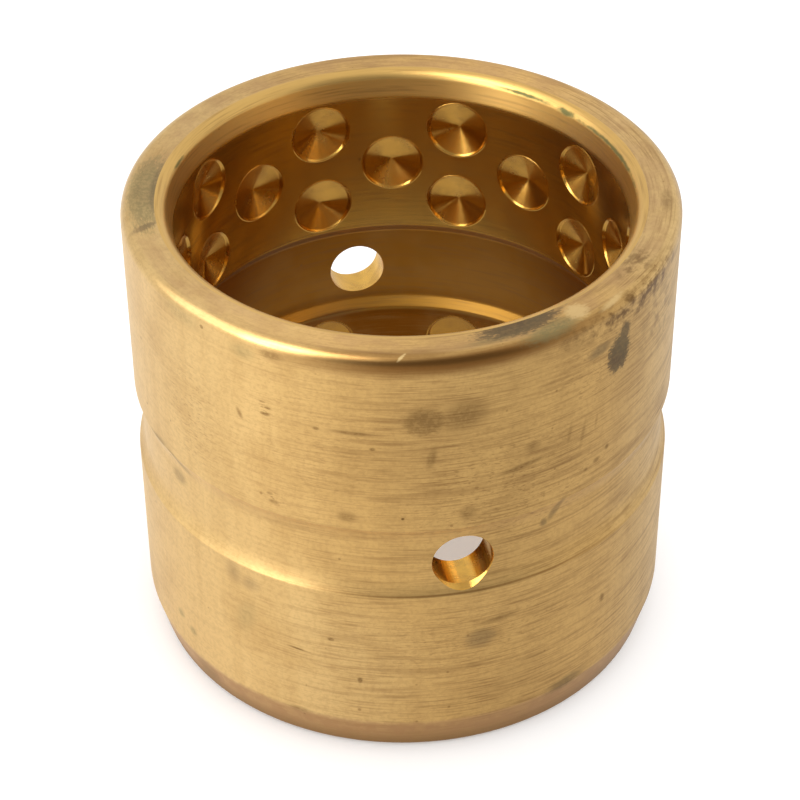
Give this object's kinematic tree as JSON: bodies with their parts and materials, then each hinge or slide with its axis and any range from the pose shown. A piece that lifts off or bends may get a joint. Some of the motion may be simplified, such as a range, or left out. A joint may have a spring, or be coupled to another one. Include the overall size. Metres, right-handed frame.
{
  "type": "bushing",
  "caption": "Thick-walled turned bronze pin bushing with grease grooves inside and out, opposite grease holes, staggered cone-shaped grease pockets in the bore and a tapered press-fit end.",
  "frame": {"origin": "middle of the bottom end face, on the axis of the bore; the bottom end is the one with the tapered press-fit lead", "axes": "+Z along the axis of the bore, up towards the end with the small rounded edge; the two grease holes lie along +Y and -Y"},
  "size_m": [0.11, 0.11, 0.1],
  "materials": {
    "bronze": "fine-turned satin bronze with grease stains and dull corrosion patches"
  },
  "bodies": {
    "root": {"bushing": "bronze"}
  },
  "joints": []
}
